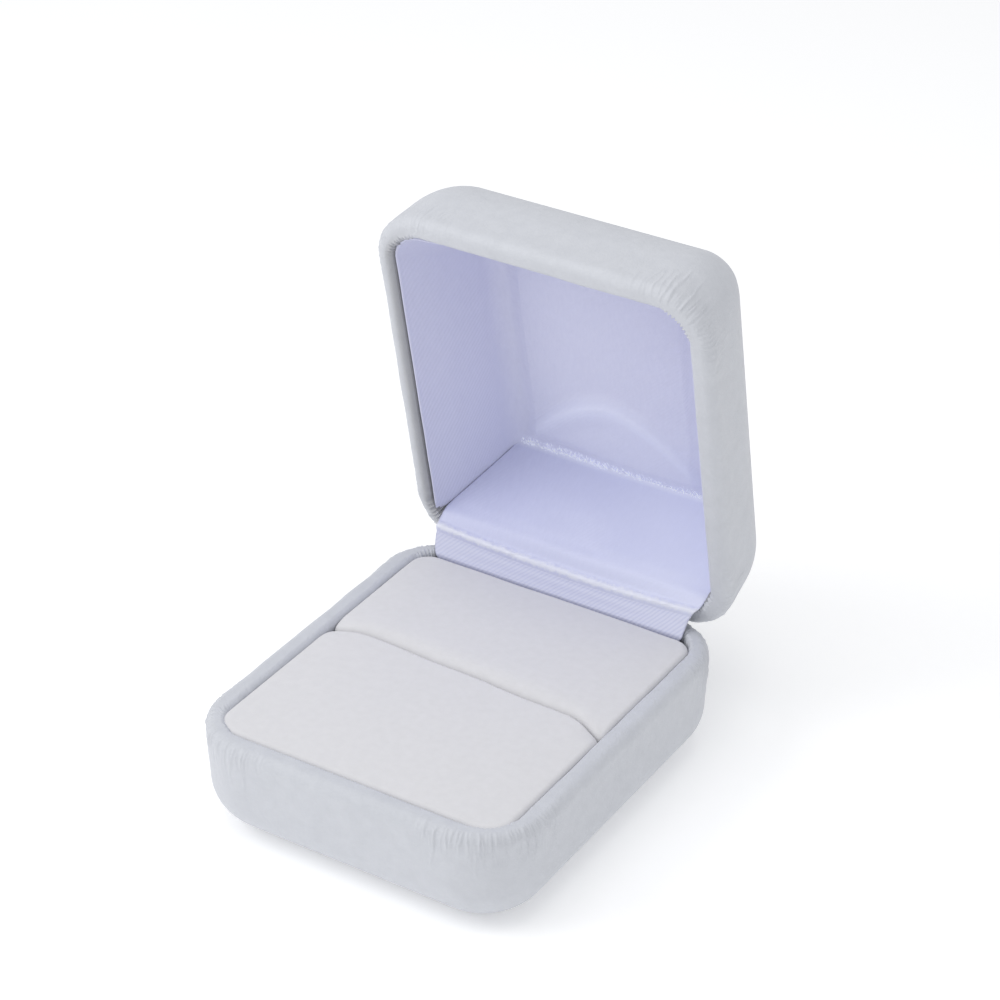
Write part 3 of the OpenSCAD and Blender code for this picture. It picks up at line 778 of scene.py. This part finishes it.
def pad_mesh(rear):
    """A crowned pad that fills the base up to the ring slot: points and faces."""
    per = Perimeter(10, 46, 26)
    rings = []
    for (inset, z), rolled in zip(*pad_profile()):
        near, far = inset - HALF_D, SLOT_Y - SLOT_HALF - rolled
        radii = (PAD_FRONT_R, PAD_SLOT_R)
        if rear:
            near, far = SLOT_Y + SLOT_HALF + rolled, min(REAR_PAD_Y - rolled, HALF_D - inset)
            radii = (PAD_SLOT_R, PAD_BACK_R)
        ring = per.ring(HALF_W - inset, near, far, *radii)
        rings.append(np.column_stack([ring, np.full(per.n, z)]))
    points = np.array(rings)
    inner = coons(points[-1], per.side)[1:-1, 1:-1].reshape(-1, 3)
    foot_in = coons(points[0], per.side)[1:-1, 1:-1].reshape(-1, 3)
    flat = np.concatenate([points.reshape(-1, 3), inner, foot_in])
    top_start = len(points) * per.n
    foot_ring = np.arange(per.n)
    top_faces = patch_faces(per.side, top_start - per.n + foot_ring, top_start)
    faces = np.concatenate([
        grid_faces(len(points), per.n, closed=True),
        top_faces,
        patch_faces(per.side, foot_ring, top_start + len(inner), up=False),
    ])
    on_top = np.zeros(len(flat), bool)
    on_top[top_start : top_start + len(inner)] = True
    used, index = np.unique(top_faces, return_inverse=True)
    swollen = inflate(flat[used], index.reshape(-1, 4), ~on_top[used])
    rise = np.zeros(len(flat))
    rise[used] = swollen[:, 2] - flat[used, 2]
    rise /= max(rise.max(), 1e-6)
    flat[:, 2] += (REAR_CROWN if rear else FRONT_CROWN) * rise
    x, y, z = flat.T
    high = smooth(z, PAD_TOP - 3, PAD_TOP - 1)
    middle = 1 - np.clip(np.abs(x) / PAD_HALF_W, 0, 1) ** 3.5
    if rear:
        gap = y - (SLOT_Y + SLOT_HALF)
        width = 0.5 + 2.4 * middle
        t = np.clip(1 - gap / width, 0, 1)
        rounded = 1 - np.sqrt(np.clip(1 - t ** 2, 0, 1))
        z += high * (0.55 * middle * (1 - smooth(gap, 0, 9)) - (0.5 + 1.0 * middle) * rounded)
    else:
        gap = (SLOT_Y - SLOT_HALF) - y
        z += high * (0.10 * middle * (1 - smooth(gap, 0, 5)))
    # both pads sink a little where the slot runs into the rim
    ends = smooth(np.abs(x), 18.5, PAD_HALF_W) * (1 - smooth(np.abs(y - SLOT_Y), 0.2, 3.2))
    z -= high * 0.55 * ends
    near = 1 - smooth(np.abs(y - SLOT_Y), 0.5, 9.0)
    y += near * (slot_line(x) - SLOT_Y)
    z += high * 0.05 * value_noise(x, y, 5 + rear, 6.0)
    return np.stack([x, y, z], axis=-1), faces


for name, rear, nodes in (
    ("front_cushion", False, ("front_pad_cover", "front_pad_foam")),
    ("rear_cushion", True, ("rear_pad_cover", "rear_pad_foam")),
):
    pts, faces = pad_mesh(rear)
    pad = new_mesh(name, pts, faces, CUSHION)
    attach(pad, "base")
    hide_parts(*nodes)

# ---------------------------------------------------------------- lid lining

LINING_D, PANEL_D = 1.3, 15.2
LINING_IN, PANEL_IN = 3.7, 10.0
LINING_SLOPE = (PANEL_IN - LINING_IN) / (PANEL_D - LINING_D)
BACK_D, BACK_IN = 0.7, 4.15
BACK_SLOPE = (PANEL_IN - BACK_IN) / (PANEL_D - BACK_D)
PANEL_CROWN = 1.5
PANEL_RISE, PANEL_HALF_W, PANEL_HALF_D, PANEL_MIDDLE_Y = 0.75, 17.5, 22.0, -2.0
# the crescent's middle, its reach to each side, its feet and its height, as the
# photograph shows them: x, and inset from the lid's back
CRESCENT_X, CRESCENT_LEFT, CRESCENT_RIGHT = 0.9, 16.6, 15.3
CRESCENT_FOOT, CRESCENT_HEIGHT = 10.9, 12.1
HOLLOW_X, HOLLOW_HALF_W, HOLLOW_IN = -8.0, 6.0, 12.2
SATIN_T = 0.25
FLAP_IN = 1.1
FLAP_CLEAR = FLAP_IN - 0.35


def lining_inset(d):
    return LINING_IN + LINING_SLOPE * (d - LINING_D)


def back_inset(d):
    """Inset of the slope behind the flap, d deep in the lid."""
    return BACK_IN + BACK_SLOPE * (d - BACK_D)


def lining_profile():
    """[inset, depth] from behind the lining's edge, over it and down to the panel."""
    edge = [[LINING_IN - 0.36, 2.0], [LINING_IN - 0.36, 1.5], [LINING_IN - 0.30, 1.26],
            [LINING_IN - 0.16, 1.16], [LINING_IN - 0.02, 1.24], [LINING_IN + 0.05, 1.45]]
    d = np.linspace(1.9, PANEL_D - 3.4, 22)
    wall = np.stack([lining_inset(d), d], axis=-1)
    a, b = wall[-1], np.array([PANEL_IN - 0.25, PANEL_D + 0.15])
    c = np.array([PANEL_IN + 3.2, PANEL_D - 0.62 * PANEL_CROWN])
    t = np.linspace(0, 1, 16)[1:, None]
    bend = (1 - t) ** 2 * a + 2 * t * (1 - t) * b + t * t * c
    return np.concatenate([edge, wall, bend])


def lining_mesh():
    """The lining in the shut lid: points, faces, cloth coordinates and painted light and shade."""
    per = Perimeter(12, 64, 90)
    profile = lining_profile()
    # open strip: down the left side, round the front, and back up the right side
    span = per.side[1] + per.side[2] + per.side[3]
    columns = (per.side[0] + np.arange(span + 1)) % per.n
    rows = []
    for inset, d in profile:
        back_y = max(HALF_D - back_inset(d) - FLAP_CLEAR, 3 - HALF_D)
        ring = per.ring(HALF_W - inset, inset - HALF_D, back_y, END_CORNER_R, 0.01)
        rows.append(np.column_stack([ring[columns], np.full(span + 1, LID_RIM_Z + d)]))
    points = np.array(rows)
    # the panel fills the strip's last row; ring order is back edge, left, front, right
    last = points[-1]
    n, m = per.side[2], per.side[1]
    back = np.linspace(last[-1], last[0], n + 1)[1:-1]
    grid = coons(np.concatenate([last[-1:], back, last[:-1]]), [n, m])
    inner = grid[1:-1, 1:-1].reshape(-1, 3)
    count = len(points) * (span + 1)
    flat = np.concatenate([points.reshape(-1, 3), back, inner])
    ring = np.concatenate([
        [count - 1], count + np.arange(n - 1), count - (span + 1) + np.arange(span)])
    patch = patch_faces([n, m], ring, count + n - 1)
    faces = np.concatenate([grid_faces(len(points), span + 1), patch])
    # the left edge stands a little nearer the rim than the card's edge
    near = (1 - smooth(flat[:, 2] - LID_RIM_Z, 1.6, 6.5)) * smooth(-flat[:, 0], 13, 18)
    flat[:, 0] -= 0.4 * near
    flat[:, 2] -= 0.5 * near
    # padding of the panel: a low crown, and a crescent fold pushed up by the flap's card
    x, y, z = flat.T
    back_in = HALF_D - y
    inside = np.ones(len(flat))
    on_panel = smooth(profile[:, 0], PANEL_IN - 0.5, PANEL_IN + 3.0)
    inside[:count] = np.repeat(on_panel, span + 1)
    off_middle = (y - PANEL_MIDDLE_Y) / PANEL_HALF_D
    crown = np.clip(1 - (x / PANEL_HALF_W) ** 2, 0, 1) * np.clip(1 - off_middle ** 2, 0, 1)
    z -= inside * PANEL_RISE * crown
    bow = (x - CRESCENT_X) / np.where(x < CRESCENT_X, CRESCENT_LEFT, CRESCENT_RIGHT)
    crest = CRESCENT_FOOT + CRESCENT_HEIGHT * np.clip(1 - np.abs(bow) ** 1.8, 0, 1)
    above = back_in - crest
    pillow = np.where(above > 0, np.exp(-(above / 1.5) ** 2), 1 - 0.45 * smooth(-above, 0, 4.5))
    swell = np.clip(1 - bow ** 4, 0, 1)
    z -= inside * pillow * swell * smooth(back_in, 11.2, 13.2)
    hollow = (np.exp(-((back_in - HOLLOW_IN) / 1.2) ** 2)
              * np.exp(-((x - HOLLOW_X) / HOLLOW_HALF_W) ** 2))
    z += inside * 0.55 * hollow
    z += 0.05 * value_noise(x + y, z + 0.3 * y, 31, 4.5)
    # painted light along the crest; painted shade in the hollow and near the cut edge
    ridge = 0.8 * np.exp(-(above / 1.4) ** 2) * smooth(back_in, 11.5, 13.5)
    painted_light = inside * swell * (0.18 * smooth(-above, 0, 1.5) + ridge - 0.6 * hollow)
    painted_light -= 0.15 * inside * np.exp(-((back_in - 12.0) / 0.9) ** 2)
    # painted light toward the lid's back and painted shade toward its front
    painted_light += 0.74 * smooth(y, -24, 18) - 0.40
    # cloth coordinates in mm: the panel's own, and the strip folded out round it
    uv = np.stack([x, y], axis=-1)
    run = run_along(profile)
    deep = (run[-1] - run)[:, None, None]
    uv[:count] = (last[:, :2] + per.normal[columns] * deep).reshape(-1, 2)
    return np.stack([x, y, z], axis=-1), faces[:, ::-1], uv, painted_light


pts, faces, uv, painted_light = lining_mesh()
lining = new_mesh("lid_lining", to_open(pts), faces, SATIN, uv)
# the lining's painted light and shade
set_attribute(lining, "painted_light", painted_light)
thicken(lining, SATIN_T)
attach(lining, "lid")
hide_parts("lid_lining_satin", "lid_panel_foam")

# ---------------------------------------------------------------- satin flap


def lid_point(d, extra):
    """[y, z] with the lid open, for a point d deep in it and set in by extra at its back."""
    p = to_open(np.array([0, HALF_D - back_inset(d) - extra, LID_RIM_Z + d]))
    return [p[1], p[2]]


def spline(points):
    """Dense Catmull-Rom through points that start with y and z, and the run along it."""
    p = np.array(points, float)
    p = np.concatenate([[2 * p[0] - p[1]], p, [2 * p[-1] - p[-2]]])
    out = []
    for i in range(1, len(p) - 2):
        t = np.linspace(0, 1, 60, endpoint=False)[:, None]
        a, b, c, d = p[i - 1], p[i], p[i + 1], p[i + 2]
        square, cube = 2 * a - 5 * b + 4 * c - d, 3 * b - a - 3 * c + d
        out.append(0.5 * (2 * b + (c - a) * t + square * t ** 2 + cube * t ** 3))
    out = np.concatenate(out + [p[-2:-1]])
    return out, run_along(out[:, :2])


FLAP_COLS, FLAP_T = 190, 0.18
FOLD_RISE, FOLD_HALF_W = 0.42, 0.55
FLAP_SAG, SAG_HALF_W = 0.85, 2.6
FLAP_END_D = PANEL_D - 0.35
TUCK_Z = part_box("satin_flap")[0].z / MM
CREASE_POINT = [27.62, 18.95]
# The flap's line, [y, z, reach to the left, reach to the right], from its cut edge
# on the padded panel, over the fold at the hinge and down behind the rear pad
flap_knots = [
    [*lid_point(FLAP_END_D, FLAP_IN + 0.3), 16.0, 16.0],
    [*lid_point(FLAP_END_D - 0.9, FLAP_IN), 16.4, 16.4],
    [*lid_point(11.0, FLAP_IN - 0.05), 17.75, 17.8],
    [*lid_point(6.0, FLAP_IN - 0.05), 20.0, 20.0],
    [*lid_point(2.8, FLAP_IN - 0.02), 21.55, 21.6],
    [*lid_point(1.0, FLAP_IN + 0.08), 21.9, 21.75],
    [*CREASE_POINT, 22.0, 20.9],
    [27.0, 18.2, 21.8, 20.3],
    [26.3, 17.3, 21.5, 20.2],
    [25.4, 16.4, 21.0, 20.2],
    [24.9, 15.6, 20.4, 20.1],
    [25.2, 13.0, 19.2, 18.6],
    [25.3, TUCK_Z, 18.4, 18.2],
]


def flap_mesh():
    """The flap's points [run, across, 3], their cloth coordinates, and the crease's run."""
    curve, curve_run = spline(flap_knots)
    crease = curve_run[np.argmin(np.hypot(*(curve[:, :2] - CREASE_POINT).T))]
    run = np.concatenate([
        np.linspace(0, crease - 2.5, 90)[:-1],
        np.linspace(crease - 2.5, crease + 6.8, 230)[:-1],
        np.linspace(crease + 6.8, curve_run[-1], 24),
    ])
    y, z, reach_left, reach_right = (
        np.interp(run, curve_run, curve[:, k])[:, None] for k in range(4))
    u = np.linspace(-1, 1, FLAP_COLS)
    d = np.gradient(np.column_stack([y, z]), axis=0)
    d /= np.linalg.norm(d, axis=1, keepdims=True)
    face = np.stack([d[:, 1], -d[:, 0]], axis=-1)
    face *= np.sign(-face[:, :1] + 1e-9)
    x = np.where(u < 0, u * reach_left, u * reach_right)
    middle = 1 - u[None, :] ** 2
    run = run[:, None]
    below = run - crease
    # the padded fold of the crease
    thinner = 0.88 + 0.12 * value_noise(x, 0 * x, 4, 1.6)
    fold = FOLD_RISE * np.exp(-(np.abs(below) / FOLD_HALF_W) ** 2.2) * thinner
    fold = fold - 0.12 * np.exp(-((below - 0.9) / 0.3) ** 2)
    fold = fold + 0.05 * value_noise(x, below * 2, 6, 0.4) * np.exp(-((below + 0.1) / 0.6) ** 2)
    # the strip sags at the middle of the fold, and lies slack over the card
    sag = -FLAP_SAG * middle * np.exp(-((below - 0.3) / SAG_HALF_W) ** 2)
    slack = 0.22 * value_noise(x, run, 8, 7.5) * smooth(-below, 1.5, 5) * smooth(run, 0, 2.5)
    slack += 0.10 * middle * (smooth(-below, 1, 5) * smooth(run, 0, 3))
    y = y + face[:, :1] * (fold + slack)
    z = z + face[:, 1:] * (fold + slack) + sag
    # the end against the panel is cut with a slight wave
    z = z + 0.10 * value_noise(x, 0 * x, 9, 2.2) * (1 - smooth(run, 0, 1.5))
    uv = np.stack([x, np.broadcast_to(run, x.shape)], axis=-1)
    return np.stack([x, y, z], axis=-1), uv, float(crease)


flap_points, flap_uv, crease_at = flap_mesh()
FLAP_SATIN = satin_cloth(
    "flap_satin", *FLAP_TONES, 0.12, FLAP_TWILL_TURN, FLAP_TWILL_STEP, crease_at)
faces = grid_faces(len(flap_points), FLAP_COLS)[:, ::-1]
flap = new_mesh("satin_flap_strip", flap_points.reshape(-1, 3), faces, FLAP_SATIN,
                flap_uv.reshape(-1, 2))
thicken(flap, FLAP_T)
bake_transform(flap)
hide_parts("satin_flap")

FRAY_THREADS = 660


def fray_mesh():
    """Short loose threads along the flap's cut edge, as thin three-sided tubes."""
    rng = np.random.default_rng(77)
    edge = flap_points[0]
    inward = flap_points[0] - flap_points[4]
    inward = inward.mean(0) / np.linalg.norm(inward.mean(0))
    up_panel = to_open(np.array([0, -1.0, 0])) - to_open(np.array([0, 0.0, 0]))
    out = to_open(np.array([0, 0, -1.0])) - to_open(np.array([0, 0, 0.0]))
    points, faces = [], []
    for _ in range(FRAY_THREADS):
        f = rng.uniform(0.5, FLAP_COLS - 2.5)
        i = int(f)
        root = edge[i] + (edge[i + 1] - edge[i]) * (f - i) - inward * rng.uniform(0, 1.0)
        root = root + out * rng.uniform(0.08, 0.3)
        long = rng.uniform(0.4, 1.0)
        side = np.array([rng.normal(0.2, 0.25), 0, 0])
        aim = up_panel * rng.uniform(0.7, 1.0) + out * rng.uniform(0.2, 0.6) + side
        curl = np.array([rng.normal(0, 0.25), rng.normal(0, 0.15), rng.normal(0, 0.15)])
        radius = rng.uniform(0.028, 0.045)
        start = len(points)
        for j in range(4):
            t = j / 3
            p = root + aim * long * t + curl * long * t * t
            r = radius * (1 - 0.6 * t)
            for a in (0, 2.1, 4.2):
                points.append(p + r * np.array([math.cos(a), math.sin(a), 0.3 * math.cos(a)]))
        faces += grid_faces(4, 3, closed=True, start=start).tolist()
        faces.append([start + 2, start + 1, start])
        faces.append([start + 9, start + 10, start + 11])
    return points, faces


pts, faces = fray_mesh()
fray = new_mesh("flap_frayed_edge", pts, faces, THREAD)
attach(fray, "lid")

# ---------------------------------------------------------------- CAD nodes that stay

FINISH = {
    "base_shell": SHELL, "lid_shell": SHELL,
    "pad_board": CARD, "lid_panel_card": CARD, "side_lining_card": CARD, "flap_card": CARD,
    "hinge_base_leaf": STEEL, "hinge_base_rivets": STEEL, "hinge_pin": STEEL,
    "hinge_spring": STEEL, "hinge_lid_leaf": STEEL, "hinge_lid_rivets": STEEL,
}
for node_name, finish in FINISH.items():
    mesh = frame["nodes"][node_name].data
    mesh.materials.clear()
    mesh.materials.append(finish)

# ---------------------------------------------------------------- stage, light and camera

FLOOR_HALF, FLOOR_Z = 1400.0, -0.01  # mm
floor_mat, _, shader = node_material("floor")
put(shader, Base_Color=(0.95, 0.95, 0.95, 1), Roughness=0.95, Specular_IOR_Level=0.1)
glow(shader, (1, 1, 1), 0.22)
quarters = (-1, -1), (1, -1), (1, 1), (-1, 1)
corners = [(x * FLOOR_HALF, y * FLOOR_HALF, FLOOR_Z) for x, y in quarters]
floor = new_mesh("studio_floor", corners, [(0, 1, 2, 3)], floor_mat)

world = bpy.data.worlds.new("studio")
bpy.context.scene.world = world
world.use_nodes = True
put(world.node_tree.nodes["Background"], Color=(0.97, 0.98, 1.0, 1), Strength=0.64)


LIGHT_AIM = Vector((0, 0, 20))  # mm


def area_light(name, place_mm, size, power):
    """A round softbox, size metres across and power watts, aimed at the box."""
    light = bpy.data.lights.new(name, "AREA")
    light.shape, light.size, light.energy = "DISK", size, power
    obj = bpy.data.objects.new(name, light)
    bpy.context.scene.collection.objects.link(obj)
    obj.location = Vector(place_mm) * MM
    obj.rotation_mode = "QUATERNION"
    aim = LIGHT_AIM - Vector(place_mm)
    obj.rotation_quaternion = aim.to_track_quat("-Z", "Y")


area_light("key_softbox", (-230, -190, 270), 0.24, 0.38)
area_light("top_softbox", (0, -60, 480), 0.40, 0.56)

# the photograph's camera, from the fit to the outline of base and lid: its direction
# from the box, and in mm its distance and its shift across the view
CAM_AZ, CAM_EL = math.radians(32.293), math.radians(31.541)
CAM_DIST, CAM_RIGHT, CAM_UP = 422.1, 5.24, 38.1
CAM_LENS, CAM_SENSOR = 109.61, 36.0
flat_out = math.cos(CAM_EL)
back = Vector((math.sin(CAM_AZ) * flat_out, -math.cos(CAM_AZ) * flat_out, math.sin(CAM_EL)))
right = Vector((math.cos(CAM_AZ), math.sin(CAM_AZ), 0))
up = back.cross(right)
camera = bpy.data.objects.new("camera", bpy.data.cameras.new("camera"))
bpy.context.scene.collection.objects.link(camera)
camera.data.lens, camera.data.sensor_width = CAM_LENS, CAM_SENSOR
camera.data.clip_start, camera.data.clip_end = 0.01, 10
camera.rotation_mode = "QUATERNION"
axes = Matrix((right, up, back)).transposed()
camera.rotation_quaternion = axes.to_quaternion()
camera.location = (CAM_DIST * back + CAM_RIGHT * right + CAM_UP * up) * MM
bpy.context.scene.camera = camera
bpy.context.scene.view_settings.view_transform = "Standard"
